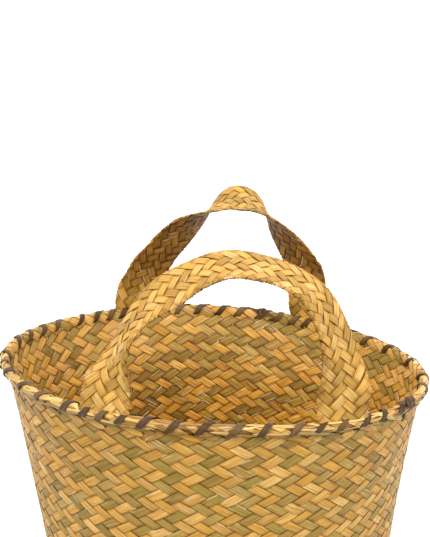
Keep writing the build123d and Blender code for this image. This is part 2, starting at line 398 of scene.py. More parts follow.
def leaf_material(name, palette, cream, dark, lines=1.0, streak=0.66, streak_mix=0.75, rough=0.5, bump=0.35, patch=None, edge=0.72, gain=1.0, pale=None, contrast=1.0, painted_shade_colour_loss=(0.12, 0.19, 0.42)):
    """Dried leaf strip: fibres along it, paler splits, darker edges, a tone of its own for each strip, and painted
    shade where the tone's alpha is over one.
    """
    g = Graph(name)
    uv = g.node("ShaderNodeUVMap", uv_map="Strand")
    sep = g.node("ShaderNodeSeparateXYZ")
    g.put(sep.inputs[0], uv.outputs[0])
    u, v = sep.outputs[0], sep.outputs[1]
    att = g.node("ShaderNodeAttribute", attribute_name="tone")
    tsep = g.node("ShaderNodeSeparateColor")
    g.put(tsep.inputs[0], att.outputs["Color"])
    hue, val, seed = tsep.outputs[0], tsep.outputs[1], tsep.outputs[2]
    # the tone's alpha: below one the strip goes paler, above one it carries painted shade (inside of the wall,
    # underside of the braids)
    bleach = g.math("SUBTRACT", 1.0, att.outputs["Alpha"], clamp=True)
    painted_shade_amount = g.math("MAXIMUM", g.math("SUBTRACT", att.outputs["Alpha"], 1.0), 0.0)
    sd = g.math("MULTIPLY", seed, 60.0)
    # fibres: fine lines along the strip, which drift a little
    drift = g.noise(g.vec(g.math("MULTIPLY", u, 0.55), v, sd), 1.0, 1.0)
    vv = g.math("ADD", v, g.math("MULTIPLY", drift, 0.16))
    fine = g.noise(g.vec(g.math("MULTIPLY", u, 0.9), g.math("MULTIPLY", vv, 15.0), sd), 1.0, 3.0, 0.6)
    broad = g.noise(g.vec(g.math("MULTIPLY", u, 0.35), g.math("MULTIPLY", vv, 7.0), g.math("ADD", sd, 7.3)), 1.0, 2.0, 0.5)
    blot = g.noise(g.vec(g.math("MULTIPLY", u, 0.8), g.math("MULTIPLY", v, 1.6), g.math("ADD", sd, 3.1)), 1.0, 3.0, 0.55)
    speck = g.noise(g.vec(g.math("MULTIPLY", u, 9.0), g.math("MULTIPLY", v, 9.0), sd), 1.0, 2.0, 0.6)
    # the strip's own tone drifts along its length
    hue2 = g.math("ADD", hue, g.math("MULTIPLY", g.math("SUBTRACT", blot, 0.5), 0.24), clamp=True)
    col = g.ramp(hue2, palette)
    if pale is not None:
        col = g.mix(bleach, col, g.ramp(hue2, pale))
    shade = g.math("MULTIPLY", g.remap(fine, 0.3, 0.72, 1.0 - 0.26 * lines, 1.0 + 0.16 * lines), g.remap(broad, 0.3, 0.7, 1.0 - 0.17 * lines, 1.0 + 0.13 * lines))
    shade = g.math("MULTIPLY", shade, g.remap(g.math("MAXIMUM", val, -0.6), -0.6, 1.0, (1.0 - 0.53 * contrast) * gain, (1.0 + 0.20 * contrast) * gain))
    shade = g.math("MULTIPLY", shade, g.remap(speck, 0.3, 0.75, 0.95, 1.05))
    side = g.math("MULTIPLY", g.math("ABSOLUTE", g.math("SUBTRACT", v, 0.5)), 2.0)
    shade = g.math("MULTIPLY", shade, g.remap(side, 0.84, 1.0, 1.0, edge, smooth=True))
    # painted shade: faces whose tone alpha is over one get deeper fibre shading
    shade = g.math("POWER", shade, g.math("MULTIPLY_ADD", painted_shade_amount, 0.5, 1.0))
    grey = g.node("ShaderNodeCombineColor")
    # the darker fibres are also the redder ones, the lit ones are paler; the painted shade gets redder the same way,
    # and faces with painted shade lose more of their colour
    for s, loss, power in zip(grey.inputs, painted_shade_colour_loss, (0.88, 1.12, 1.55)):
        g.put(s, g.math("MULTIPLY", g.math("POWER", shade, power), g.math("MULTIPLY_ADD", painted_shade_amount, -loss, 1.0)))
    col = g.mix(1.0, col, grey.outputs[0], "MULTIPLY")
    # dark thin cracks and pale splits along the fibres
    crack = g.remap(g.noise(g.vec(g.math("MULTIPLY", u, 0.30), g.math("MULTIPLY", vv, 15.0), g.math("ADD", sd, 21.0)), 1.0, 1.0), 0.655, 0.71, 0.0, 0.55 * lines)
    col = g.mix(crack, col, dark)
    split = g.remap(g.noise(g.vec(g.math("MULTIPLY", u, 0.45), g.math("MULTIPLY", vv, 10.0), g.math("ADD", sd, 43.0)), 1.0, 1.0), streak, streak + 0.05, 0.0, streak_mix)
    rimlit = g.math("MULTIPLY", g.remap(side, 0.72, 0.84, 0.0, 1.0), g.remap(g.noise(g.vec(g.math("MULTIPLY", u, 0.5), g.math("MULTIPLY", v, 0.9), g.math("ADD", sd, 11.0)), 1.0, 1.0), 0.62, 0.66, 0.0, 0.55))
    col = g.mix(g.math("MAXIMUM", split, rimlit), col, cream)
    if patch is not None:
        spot = g.remap(g.noise(g.vec(g.math("MULTIPLY", u, 0.55), g.math("MULTIPLY", v, 1.2), g.math("ADD", sd, 31.0)), 1.0, 2.0), 0.60, 0.70, 0.0, 0.6)
        col = g.mix(spot, col, patch)
    g.put(g.p.inputs["Base Color"], col)
    g.put(g.p.inputs["Roughness"], g.remap(fine, 0.25, 0.75, rough - 0.07, rough + 0.13))
    g.p.inputs["Specular IOR Level"].default_value = 0.32
    hgt = g.math("ADD", g.math("MULTIPLY", fine, 0.75), g.math("ADD", g.math("MULTIPLY", broad, 0.9), g.math("MULTIPLY", speck, 0.12)))
    b = g.node("ShaderNodeBump")
    b.inputs["Strength"].default_value = bump
    b.inputs["Distance"].default_value = 0.0006
    g.put(b.inputs["Height"], hgt)
    g.put(g.p.inputs["Normal"], b.outputs[0])
    return g.m


wall_mat = leaf_material(
    "seagrass_strip",
    [(0.0, lin((164, 138, 59))), (0.13, lin((179, 147, 71))), (0.26, lin((196, 158, 82))), (0.42, lin((217, 163, 72))), (0.60, lin((228, 174, 79))), (0.80, lin((225, 173, 91))), (1.0, lin((245, 197, 113)))],
    lin((252, 230, 176)), lin((104, 68, 24)), lines=1.25, streak=0.69, contrast=1.0, edge=0.42, gain=1.13,
    pale=[(0.0, lin((200, 156, 78))), (0.35, lin((230, 178, 90))), (0.7, lin((240, 192, 106))), (1.0, lin((248, 212, 140)))],
)
base_mat = leaf_material(
    "seagrass_base_strip",
    [(0.0, lin((150, 126, 58))), (0.35, lin((176, 136, 62))), (0.7, lin((200, 148, 64))), (1.0, lin((206, 156, 78)))],
    lin((238, 214, 165)), lin((96, 64, 28)), lines=1.0, streak=0.70,
)
straw_mat = leaf_material(
    "straw_stalk",
    [(0.0, lin((186, 134, 58))), (0.5, lin((234, 184, 98))), (1.0, lin((255, 220, 144)))],
    lin((255, 240, 204)), lin((110, 70, 26)), lines=1.5, streak=0.66, rough=0.42, contrast=1.7, edge=0.34,
)
# the braid strand takes a heavier painted shade on the strap's underside
handle_mat = leaf_material(
    "braid_strand",
    [(0.0, lin((186, 152, 70))), (0.3, lin((211, 164, 74))), (0.55, lin((228, 176, 80))), (0.8, lin((236, 185, 96))), (1.0, lin((248, 208, 126)))],
    lin((250, 228, 180)), lin((128, 84, 32)), lines=1.1, streak=0.70, streak_mix=0.6, contrast=1.1, edge=0.42, gain=1.03, painted_shade_colour_loss=(0.40, 0.45, 0.50),
)
lash_mat = leaf_material(
    "dark_lashing_strand",
    [(0.0, lin((76, 52, 24))), (0.5, lin((96, 69, 34))), (1.0, lin((126, 96, 54)))],
    lin((168, 142, 104)), lin((38, 26, 14)), lines=1.5, streak=0.66, streak_mix=0.5, rough=0.46, bump=0.5,
)
fray_mat = leaf_material(
    "pale_fibre",
    [(0.0, lin((226, 188, 118))), (0.6, lin((244, 218, 166))), (1.0, lin((252, 238, 204)))],
    lin((255, 246, 222)), lin((150, 108, 56)), lines=0.6, streak=0.66,
)


def tone(hue=None, val=None, g=rng):
    return np.array([g.uniform(0, 1) if hue is None else hue, float(np.clip(g.normal(0.5, 0.22), 0, 1)) if val is None else val, g.uniform(0, 1), 1.0])


# ---------------------------------------------------------------- wall weave
N = 72            # strips in each set
PITCH = 6.5       # strip to strip, square to the strip
AMP = 0.50        # how far a strip passes over and under
THICK = 0.60
SKEW = 0.0

grid_s = np.arange(PROF_S[0], PROF_S[-1] - 0.2, 0.5)
grid_r = np.interp(grid_s, PROF_S, PROF_P[:, 0])
sin_b = np.clip(PITCH * N / (TAU * grid_r), 0, 0.955)
cot_b = np.sqrt(1 - sin_b**2) / sin_b
cot_b = np.maximum(cot_b, np.interp(grid_s, [-14.0, -5.0, 1.0], [2.5, 2.1, 1.7]))
grid_k = np.concatenate([[0], np.cumsum(0.5 * (cot_b[1:] / grid_r[1:] + cot_b[:-1] / grid_r[:-1]) * np.diff(grid_s))])
grid_k -= np.interp(0.0, grid_s, grid_k)
grid_nu = grid_k * N / math.pi - 0.23


def s_of_nu(nu):
    return np.interp(nu, grid_nu, grid_s)


def over(n):
    """+1 where a strip of the first set runs outside, -1 where it runs inside."""
    return np.tanh(2.2 * np.cos(TAU * (n - 0.5) / 4)) / math.tanh(2.2)


NU_END = float(np.interp(PROF_S[-1] - 1.5, grid_s, grid_nu))
steps = np.array([0.0, 0.10, 0.27, 0.6, 1.0, 1.4, 1.73, 1.90])
stations = np.concatenate([1.5 + 2 * m + steps for m in range(-2, 60)])
stations = stations[stations < NU_END - 0.08]
stations = np.append(stations, NU_END)
stations_a = np.concatenate([[0.38], stations[stations > 0.45]])
stations_b = stations[stations > 1.49]


def strip_hue(g, index):
    """The strips are laid golden, olive, golden, olive, with a few out of turn."""
    if g.uniform() < (0.74 if index % 2 == 1 else 0.12):
        return g.uniform(0.0, 0.28)
    return g.uniform(0.42, 1.0)


def wall_strip(piece, index, family, g, n, fold_piece=None):
    K = len(n)
    x = lateral(4)
    half = 0.5 * g.uniform(0.93, 1.0) * (1 + wave(K, 0.016, 9, int(g.integers(1 << 30))))
    off = wave(K, 0.022, 14, int(g.integers(1 << 30)))
    cup = g.uniform(0.05, 0.13)
    base = tone(strip_hue(g, index), None, g)
    u0 = g.uniform(0, 900)
    waves = [int(g.integers(1 << 30)) for _ in range(2)]

    def lay(target, n, half, off, start):
        K = len(n)
        d = off[:, None] + half[:, None] * x[None]
        if family == "A":
            nu, phi = n[:, None] - d, math.pi * (2 * index + n[:, None] + d) / N
            h = AMP * over(n)
        else:
            nu, phi = n[:, None] + d, math.pi * (2 * index - n[:, None] + d) / N
            h = -AMP * over(n)
            # the first floats under the border stand out like small leaves
            h = h + 0.32 * np.exp(-(((n - 2.5) / 0.85) ** 2))
        s = s_of_nu(nu)
        shift, turn_up = 0.0, 0.0
        tones = np.tile(base, (K, 1))
        # in the shade where it dives under the next crossing
        dive = np.abs((n - 0.5) % 2.0 - 1.0)
        tones[:, 1] -= 1.05 * np.exp(-((dive / 0.15) ** 2))
        if start is not None:
            # over the bundle the strips lie close to it, spread out and go paler
            w = np.clip((n - 0.1) / 0.8, 0, 1)
            h = h * w - (1 - w) * start[0]
            shift = start[1] * np.clip(-s - 2.0, 0, 20) / 150.0
            tones[:, 3] = np.clip(np.interp(s[:, 1], [-13.5, -10.5, -6.5, -1.5], [1.0, 0.15, 0.0, 1.0]) + start[2], 0, 1)
        P, Nn = surf(phi + shift, s)
        thick = THICK * (1 + wave(K, 0.05, 8, waves[0]))[:, None]
        if start is not None:
            thick = thick * np.clip(0.62 + 0.1 * n, 0.62, 1)[:, None]
        tilt = wave(K, 0.07, 5, waves[1])[:, None] * x[None] + h[:, None]
        top = P + Nn * (tilt + thick / 2 - cup * x[None] ** 2)[..., None]
        low = P + Nn * (tilt - thick / 2 + cup * x[None] ** 2)[..., None]
        # painted shade: the inside of the mat is painted darker and redder, more so lower down
        painted_depth_shade = np.clip(np.interp(s, [0.0, 6.0, 28.0, 60.0, 90.0], [0.0, 0.08, 0.5, 1.4, 1.9]), 0, 2.0)
        both = np.repeat(tones[:, None], 8, 1)
        both[:, 4:, 3] = np.where(tones[:, None, 3] >= 0.999, 1 + painted_depth_shade[:, ::-1], both[:, 4:, 3])
        target.sweep(np.concatenate([top, low[:, ::-1]], 1), flat_across(4), both, u0=u0)

    lay(piece, n, half, off, None)
    if fold_piece is not None:
        n_end = float(np.interp(g.uniform(-19.4, -13.5), grid_s, grid_nu))
        m = np.linspace(n_end + 0.3, 1.5, 44)
        w = np.clip((m - n_end) / 6.5, 0, 1)
        mid_narrow = 1 - 0.38 * np.exp(-(((np.interp(m, grid_nu, grid_s) + 6.5) / 3.6) ** 2))
        fold_half = half[0] * (g.uniform(0.72, 1.0) * (1 - w) + 1.0 * w) * mid_narrow
        fold_half = np.minimum(fold_half, half[0]) * np.clip((m - n_end + 0.2) / 1.2, 0.35, 1)
        blend_in = np.clip((m - 0.9) / 0.6, 0, 1)
        fold_half = fold_half * (1 - blend_in) + half[0] * blend_in
        lay(fold_piece, m, fold_half, np.full(len(m), off[0]), (g.uniform(0.0, 0.26), g.normal(0, 0.55), g.uniform(-0.3, 0.35)))


made = {}
fold = Piece("border_fold_strips")
for family, word in (("A", "left"), ("B", "right")):
    for part in range(2):
        pc = Piece(f"wall_strips_{word}_{part + 1}")
        for i in range(part * N // 2, (part + 1) * N // 2):
            wall_strip(pc, i, family, np.random.default_rng(1000 * (family == "B") + i + 7), stations_a if family == "A" else stations_b, fold if family == "B" else None)
        made[pc.name] = pc.make(wall_mat)
made["border_fold_strips"] = fold.make(wall_mat)

# ---------------------------------------------------------------- base mat
BASE_R = 98.5


def base_strips():
    out = {}
    cells = int(BASE_R // PITCH) + 1
    for family in (0, 1):
        pc = Piece("base_strips_" + ("lengthwise", "crosswise")[family])
        for i in range(-cells, cells + 1):
            g = np.random.default_rng(5000 + 100 * family + i)
            c = i * PITCH
            half = 0.5 * PITCH * g.uniform(0.92, 0.985)
            reach = math.sqrt(max(0.0, BASE_R**2 - (abs(c) + half) ** 2)) if abs(c) + half < BASE_R else 0
            if reach < 6:
                continue
            m = np.concatenate([1.5 + 2 * k + steps for k in range(-30, 30)])
            if family == 0:
                t = (i + m) * PITCH
                h = AMP * over(m)
            else:
                t = (i - m[::-1]) * PITCH
                h = -AMP * over(m[::-1])
            keep = np.abs(t) < reach - 0.8
            t, h = np.concatenate([[-reach], t[keep], [reach]]), np.concatenate([[h[keep][0]], h[keep], [h[keep][-1]]])
            K = len(t)
            w = wave(K, 0.12, 10, int(g.integers(1 << 30)))
            a = math.radians(45)
            ex, ey = (np.array([math.cos(a), math.sin(a), 0]), np.array([-math.sin(a), math.cos(a), 0]))
            if family == 1:
                ex, ey = ey, ex
            P = t[:, None] * ex + (c + w)[:, None] * ey + np.array([0, 0, 2.25])
            nrm = np.tile([0, 0, -1.0], (K, 1))
            P = P + nrm * h[:, None]
            pc.sweep(flat_rings(P, nrm, np.tile(ey, (K, 1)), half, THICK, 4, g.uniform(0.06, 0.14)), flat_across(4), tone(strip_hue(g, i), None, g), u0=g.uniform(0, 900))
        out[pc.name] = pc.make(base_mat)
    return out


base_made = base_strips()

# ---------------------------------------------------------------- rim
WALL_AT_RIM = -1.0


def rim_frame(phi):
    """Centre, outward and tangent directions of the rim line at each azimuth."""
    R, z = rim_at(phi)
    c, s = np.cos(phi), np.sin(phi)
    return np.stack([R * c, R * s, z], -1), np.stack([c, s, 0 * c], -1)


def rim_point(phi, rho, zeta):
    """A point rho outward and zeta above the rim's centre line."""
    centre, radial = rim_frame(phi)
    return centre + radial * rho[..., None] + np.array([0, 0, 1.0]) * zeta[..., None]


def rim_strip(piece, phi, rho, zeta, half, thick, M, tone_, crown=0.1, tilt=0.0, u0=0.0, closed=False):
    """A flat strip that follows (phi, rho, zeta) round the rim and faces away from its centre."""
    P = rim_point(phi, rho, zeta)
    T = np.gradient(P, axis=0)
    T /= np.linalg.norm(T, axis=1)[:, None]
    dr, dzt = np.gradient(rho), np.gradient(zeta)
    _, radial = rim_frame(phi)
    length = np.hypot(dr, dzt) + 1e-9
    nr, nz = -dzt / length, dr / length  # square to the way round the bundle
    nrm = radial * nr[:, None] + np.array([0, 0, 1.0]) * nz[:, None]
    away = nr * (rho - 0.0) + nz * (zeta + 3.0)
    nrm *= np.where(away < 0, -1.0, 1.0)[:, None]
    nrm -= T * np.sum(nrm * T, 1)[:, None]
    nrm /= np.linalg.norm(nrm, axis=1)[:, None]
    B = np.cross(nrm, T)
    piece.sweep(flat_rings(P, nrm, B, half, thick, M, crown, 0.0, tilt), flat_across(M), tone_, u0=u0, closed=closed)
    return P, nrm


# the bundle of stalks: seven irregular stalks laid round one another
core = Piece("rim_stalks")
STALKS = 9
for k in range(STALKS):
    g = np.random.default_rng(300 + k)
    K = 340
    phi = np.linspace(0, TAU, K, endpoint=False)
    if k == 0:
        off, ang, rad = 0.0, 0.0, 0.95
        rho, zeta = np.zeros(K), np.full(K, BUNDLE_Z)
    else:
        rad = g.uniform(0.68, 0.92)
        ang = TAU * (k - 1) / (STALKS - 1) + 5 * phi + 0.25 * np.sin(4 * phi + k) + 0.2 * np.sin(9 * phi + 2 * k)
        off = 1.55 + 0.12 * np.sin(7 * phi + 1.7 * k)
        rho, zeta = off * np.cos(ang), BUNDLE_Z + off * np.sin(ang)
    P = rim_point(phi, rho, zeta)
    T = np.roll(P, -1, 0) - np.roll(P, 1, 0)
    T /= np.linalg.norm(T, axis=1)[:, None]
    side = np.cross(T, np.array([0, 0, 1.0]))
    side /= np.linalg.norm(side, axis=1)[:, None]
    upv = np.cross(side, T)
    rr = rad * (1 + 0.07 * np.sin(23 * phi + 3 * k) + 0.05 * np.sin(41 * phi + k))
    R = 8
    a = TAU * np.arange(R) / R
    rings = P[:, None] + rr[:, None, None] * (np.cos(a)[None, :, None] * side[:, None] + np.sin(a)[None, :, None] * upv[:, None])
    core.sweep(rings, np.linspace(0, 1, R + 1), tone(None, None, g), closed=True, u0=50 * k, chart_len=160.0)
for k in range(150):
    g = np.random.default_rng(4200 + k)
    ph0, run = g.uniform(0, TAU), g.uniform(16.0, 46.0)
    t = np.linspace(0, 1, max(8, int(run / 2.2)))
    s0 = g.uniform(-11.5, -3.5)
    ss = np.clip(s0 + g.uniform(-3.2, 3.2) * (t - 0.5) + 0.5 * np.sin(4 * t + k), -12.6, -1.5)
    Pw, Nw = surf(ph0 + run * t / 150.0, ss)
    lift = g.uniform(0.28, 0.50) + 0.12 * np.sin(TAU * t * g.uniform(0.5, 1.5))
    Pw = Pw - Nw * lift[:, None]
    T = np.gradient(Pw, axis=0)
    T /= np.linalg.norm(T, axis=1)[:, None]
    up = -Nw - T * np.sum(-Nw * T, 1)[:, None]
    up /= np.linalg.norm(up, axis=1)[:, None]
    half = g.uniform(0.55, 1.25) * np.clip(np.minimum(t, 1 - t) * 7 + 0.35, 0, 1)
    core.sweep(flat_rings(Pw, up, np.cross(up, T), half, 0.36, 4, 0.12), flat_across(4), tone(None, None, g), u0=50.0 * k)
made["rim_stalks"] = core.make(straw_mat, 80.0)

# ---------------------------------------------------------------- lashing
lash = Piece("rim_lashing_strand")
# where each turn crosses the top of the rim, degrees from +X
front_turns = [-178.0, -169.0, -160.0, -148.0, -139.3, -130.0, -124.0, -118.9, -113.7, -108.0, -101.0, -94.0, -86.4, -79.6, -71.6, -65.1, -59.1, -51.8, -45.4, -36.8, -31.2, -17.0]
back_turns = [-3.0, 12.0, 26.1, 36.7, 45.0, 53.0, 60.2, 64.7, 71.4, 75.8, 82.8, 89.0, 95.7, 102.0, 108.0, 114.5, 121.0, 125.6, 130.5, 137.4, 147.0, 154.7, 162.3, 170.0]
crossings = np.radians(np.array(sorted([t + 2.0 for t in front_turns] + [t - 1.7 for t in back_turns], reverse=True)))
TURNS = len(crossings)
lt = np.radians(np.array([172, 147, 120, 96, 72, 48, 22, 0.0]))
la_r = np.array([3.78, 3.74, 3.66, 3.56, 3.50, 3.48, 3.46, 3.44])
la_rho = np.concatenate([[-3.30, -3.86, -3.84], la_r * np.cos(lt), [3.30, 2.72, 1.78], [0.4, -1.5, -2.6]])
la_z = np.concatenate([[-5.0, -3.8, -2.3], BUNDLE_Z + la_r * np.sin(lt), [-2.4, -3.6, -4.7], [-5.7, -6.2, -5.9]])
la_adv = np.concatenate([[0.0, 1.5, 2.9], np.linspace(4.0, 12.4, 8), [13.4, 14.4, 15.2], [15.6, 15.6, 15.6]])
per = len(la_rho)
t_key = np.arange(per + 1)
fine_t = np.linspace(0, per, 3 * per + 1)[:-1]


def soft_line(t, xs, ys):
    """Smooth line through keys."""
    i = np.clip(t.astype(int), 0, len(ys) - 2)
    u = t - i
    p = np.concatenate([[2 * ys[0] - ys[1]], ys, [2 * ys[-1] - ys[-2]]])
    p0, p1, p2, p3 = p[i], p[i + 1], p[i + 2], p[i + 3]
    return 0.5 * (2 * p1 + (p2 - p0) * u + (2 * p0 - 5 * p1 + 4 * p2 - p3) * u**2 + (3 * p1 - p0 - 3 * p2 + p3) * u**3)


lg = np.random.default_rng(77)
all_phi, all_rho, all_z, all_half = [], [], [], []
for turn in range(TURNS):
    gap = (crossings[turn] - crossings[(turn + 1) % TURNS]) % TAU * 150.0
    j_r, j_w, j_z = lg.uniform(-0.05, 0.16), lg.uniform(1.85, 2.4), lg.normal(0, 0.35)
    # between the last and the first keys of a turn the strand runs hidden in the wall
    adv_keys = la_adv.copy()
    hidden = gap - la_adv[-4]
    adv_keys[-3:] = la_adv[-4] + hidden * np.array([0.12, 0.5, 0.88])
    adv = soft_line(fine_t, t_key, np.append(adv_keys, gap))
    rho, zeta = (soft_line(fine_t, t_key, np.append(y, y[0])) for y in (la_rho, la_z))
    bump = np.sin(math.pi * np.clip(fine_t / (per - 3.0), 0, 1)) ** 0.5
    rho = rho + j_r * bump * np.sign(rho)
    zeta = zeta + j_r * bump * (zeta > 0) + j_z * np.where(zeta < -3.0, 1, 0) * bump
    lean = lg.normal(0, 1.1) * np.sin(TAU * np.clip(fine_t / (per - 3.0), 0, 1))
    all_phi.append(crossings[turn] - (adv - 8.2 + lean) / 150.0)
    all_rho.append(rho)
    all_z.append(zeta)
    all_half.append(np.full(len(fine_t), j_w) * (1 - 0.3 * (zeta < -5.0)))
phi_l = np.concatenate(all_phi)
half_l = np.convolve(np.pad(np.concatenate(all_half), 3, mode="wrap"), np.ones(7) / 7, "valid")
rho_l, z_l = np.concatenate(all_rho), np.concatenate(all_z)
P = rim_point(phi_l, rho_l, z_l)
T = np.roll(P, -1, 0) - np.roll(P, 1, 0)
T /= np.linalg.norm(T, axis=1)[:, None]
_, radial = rim_frame(phi_l)
cx = np.array([-0.3, -2.2])  # what the turns go round, in the cross-section
nrm = radial * (rho_l - cx[0])[:, None] + np.array([0, 0, 1.0]) * (z_l - cx[1])[:, None]
nrm -= T * np.sum(nrm * T, 1)[:, None]
nrm /= np.linalg.norm(nrm, axis=1)[:, None]
for _ in range(2):
    nrm = 0.5 * nrm + 0.25 * (np.roll(nrm, 1, 0) + np.roll(nrm, -1, 0))
    nrm -= T * np.sum(nrm * T, 1)[:, None]
    nrm /= np.linalg.norm(nrm, axis=1)[:, None]
B = np.cross(nrm, T)
turn_tone = np.concatenate([np.tile([lg.uniform(0, 1), lg.uniform(0.2, 0.8), lg.uniform(0, 1), 1.0], (len(fine_t), 1)) for _ in range(TURNS)])
seed_l = turn_tone.copy()
seed_l[:, 2] = 0.37
lash.sweep(flat_rings(P, nrm, B, half_l, 0.62, 5, 0.14), flat_across(5), seed_l, closed=True, chart_len=190.0)
made["rim_lashing_strand"] = lash.make(lash_mat)


# the strand's two knots and their short ends
def knot_path(centre, ax, ay, az, size, turns=None):
    t = np.linspace(0, TAU, 72, endpoint=False)
    r = size * (0.62 + 0.30 * np.cos(3 * t))
    return centre + (r * np.cos(2 * t))[:, None] * ax + (r * np.sin(2 * t))[:, None] * ay * 0.75 + (size * 0.40 * np.sin(3 * t))[:, None] * az


def strand(piece, P, half, thick, tone_, up_hint, closed=False, M=5, crown=0.12):
    T = (np.roll(P, -1, 0) - np.roll(P, 1, 0)) if closed else np.gradient(P, axis=0)
    T /= np.linalg.norm(T, axis=1)[:, None]
    n = np.broadcast_to(up_hint, P.shape) - T * np.sum(up_hint * T, 1)[:, None]
    n /= np.linalg.norm(n, axis=1)[:, None] + 1e-9
    piece.sweep(flat_rings(P, n, np.cross(n, T), half, thick, M, crown), flat_across(M), tone_, closed=closed)


knots = Piece("lashing_knots_tied")
for theta, side, size, seed in ((75.4, 150.0, 3.5, 5), (-33.4, 40.0, 3.3, 6)):
    g = np.random.default_rng(seed)
    th, sd = math.radians(theta), math.radians(side)
    c0, rad = rim_frame(np.array([th]))
    rad, c0 = rad[0], c0[0]
    tan = np.array([-math.sin(th), math.cos(th), 0.0])
    away = rad * math.cos(sd) + np.array([0, 0, 1.0]) * math.sin(sd)
    across = np.cross(tan, away)
    centre = c0 + np.array([0, 0, BUNDLE_Z]) + away * (3.5 + 0.9)
    strand(knots, knot_path(centre, tan, across, away, size), 1.45, 0.85, tone(0.4, 0.45, g), away, closed=True)
    for sgn in (-1, 1):
        t = np.linspace(0, 1, 14)[:, None]
        end = centre + tan * sgn * (2.2 + 7.5 * t) + across * sgn * (1.0 + 2.5 * t * t) + away * (0.2 - 1.5 * t)
        strand(knots, end, 1.3 * (1 - 0.55 * t[:, 0]), 0.55, tone(0.5, 0.5, g), away)
# the strand's tucked end on the outside, low on the wall beside the second knot
g = np.random.default_rng(9)
t = np.linspace(0, 1, 16)
ph = math.radians(-31.5) - 0.012 * t
Pw, Nw = surf(ph, 7.0 + 6.0 * t)
strand(knots, Pw + Nw * (1.25 + 0.9 * np.sin(math.pi * t))[:, None], 1.7 * np.clip(1.3 - 0.5 * t, 0.4, 1), 0.6, tone(0.35, 0.4, g), Nw)
made["lashing_knots_tied"] = knots.make(lash_mat)

# ---------------------------------------------------------------- handles
front_strap = [(-70.1, -132.3, 16.9, 80, 38.5), (-65.8, -130.5, 29.9, 42, 32.5), (-60.6, -129.0, 44.4, 20, 30.5), (-53.6, -127.8, 58.1, 19, 30.5), (-43.7, -126.9, 70.1, 27, 32.5), (-30.7, -127.0, 79.5, 33, 34.0), (-17.0, -127.0, 87.8, 29, 34.0), (-2.6, -127.0, 94.8, 24, 34.0), (13.2, -127.0, 96.8, 20, 34.0), (29.0, -127.0, 94.0, 18, 34.0), (44.1, -127.0, 88.6, 19, 34.0), (57.4, -127.0, 79.7, 24, 34.0), (66.8, -127.1, 67.0, 32, 34.0), (72.8, -127.3, 52.5, 38, 33.5), (77.0, -127.3, 37.5, 48, 34.5), (79.2, -127.2, 22.3, 62, 37.0), (79.6, -126.8, 8.6, 80, 42.0)]
rear_strap = [(-68.6, 133.6, 13.2, -80, 34.0), (-64.0, 131.4, 26.6, -75, 34.0), (-56.2, 129.4, 40.4, -64, 34.0), (-46.9, 127.9, 52.9, -57, 34.0), (-36.9, 127.0, 64.6, -53, 34.0), (-25.8, 127.0, 75.1, -43, 34.0), (-13.4, 127.0, 84.2, -21, 34.0), (-0.9, 127.0, 93.0, 6, 34.0), (12.7, 127.0, 99.6, 26, 34.0), (27.5, 127.0, 96.8, 21, 34.0), (39.2, 127.0, 87.2, -1, 34.0), (48.3, 127.0, 74.9, -24, 34.0), (57.3, 127.4, 62.4, -40, 34.0), (65.9, 128.0, 49.3, -51, 34.0), (71.4, 128.8, 34.5, -65, 34.0), (73.5, 129.6, 18.9, -76, 34.0), (74.7, 130.4, 5.0, -80, 34.0)]
STRAP_W = 34.0


def catmull(table, per_span):
    tb = np.array(table, float)
    m = len(tb) - 1
    ext = np.concatenate([[2 * tb[0] - tb[1]], tb, [2 * tb[-1] - tb[-2]]])
    t = np.linspace(0, m, m * per_span + 1)
    i = np.minimum(t.astype(int), m - 1)
    u = (t - i)[:, None]
    p0, p1, p2, p3 = ext[i], ext[i + 1], ext[i + 2], ext[i + 3]
    return 0.5 * (2 * p1 + (p2 - p0) * u + (2 * p0 - 5 * p1 + 4 * p2 - p3) * u**2 + (3 * p1 - p0 - 3 * p2 + p3) * u**3)


def unit(a):
    return a / np.linalg.norm(a, axis=-1, keepdims=True)


def foot_keys(x, y):
    """Centre points of a strap end inside the rim, from the top down, and its outward and sideways directions."""
    az = math.atan2(y, x)
    R, z = rim_at(np.array(az))
    out = np.array([math.cos(az), math.sin(az), 0.0])
    pts = [out * (float(R) + rho) + np.array([0, 0, float(z) + up]) for rho, up in ((0.3, 3.4), (0.4, 0.8), (0.2, -1.8), (-0.3, -4.3))]
    return np.array(pts), out, np.array([-math.sin(az), math.cos(az), 0.0])


